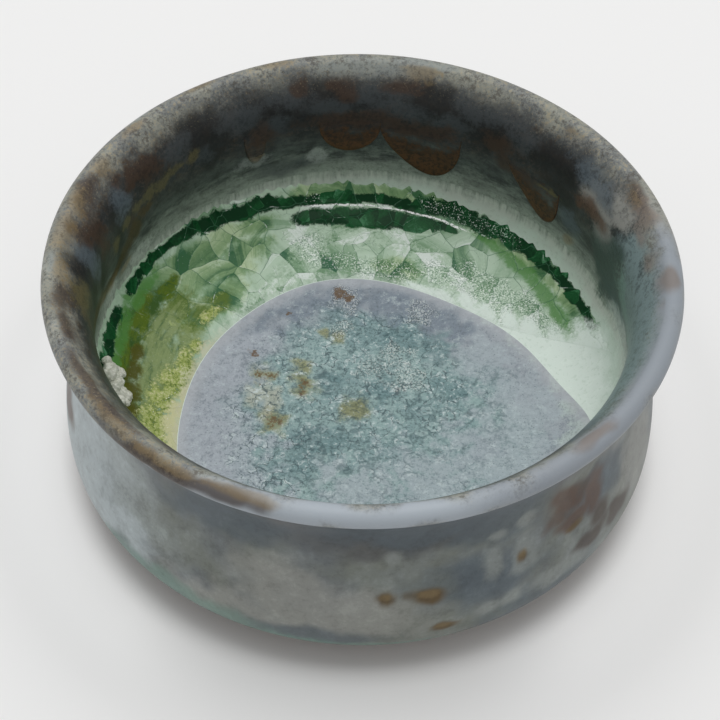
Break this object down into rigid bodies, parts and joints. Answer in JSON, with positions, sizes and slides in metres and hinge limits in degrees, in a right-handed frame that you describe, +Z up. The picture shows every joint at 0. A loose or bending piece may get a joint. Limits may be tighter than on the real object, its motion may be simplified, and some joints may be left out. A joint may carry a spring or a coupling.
{
  "type": "gongfu tea cup",
  "caption": "Low flared stoneware tea cup on a turned foot ring, glazed dark inside and out, with a crescent of crackled green glass round a crystalline floor.",
  "frame": {"origin": "middle of the foot ring, on the surface that the cup stands on", "axes": "+Z up along the cup's axis out of its mouth, -Y towards the side that the picture shows in front"},
  "size_m": [0.076, 0.076, 0.0325],
  "materials": {
    "stoneware": "bare fired stoneware, matt",
    "outer_glaze": "satin blue-grey glaze with ochre spots",
    "rim_glaze": "gritty ochre-grey glaze",
    "inner_glaze": "satin dark blue-brown glaze",
    "white_glaze": "glossy cream-white glaze",
    "floor_glaze": "crystalline lilac and turquoise glaze",
    "green_glass": "crackled green glass, glossy",
    "iron_glaze": "satin iron-brown glaze"
  },
  "bodies": {
    "root": {"clay_body": "stoneware", "outer_glaze": "outer_glaze", "rim_glaze": "rim_glaze", "inner_glaze": "inner_glaze", "white_glaze": "white_glaze", "floor_glaze": "floor_glaze", "glass_pool": "green_glass", "iron_run_1": "iron_glaze", "iron_run_2": "iron_glaze", "iron_run_3": "iron_glaze", "iron_run_4": "iron_glaze"}
  },
  "joints": []
}
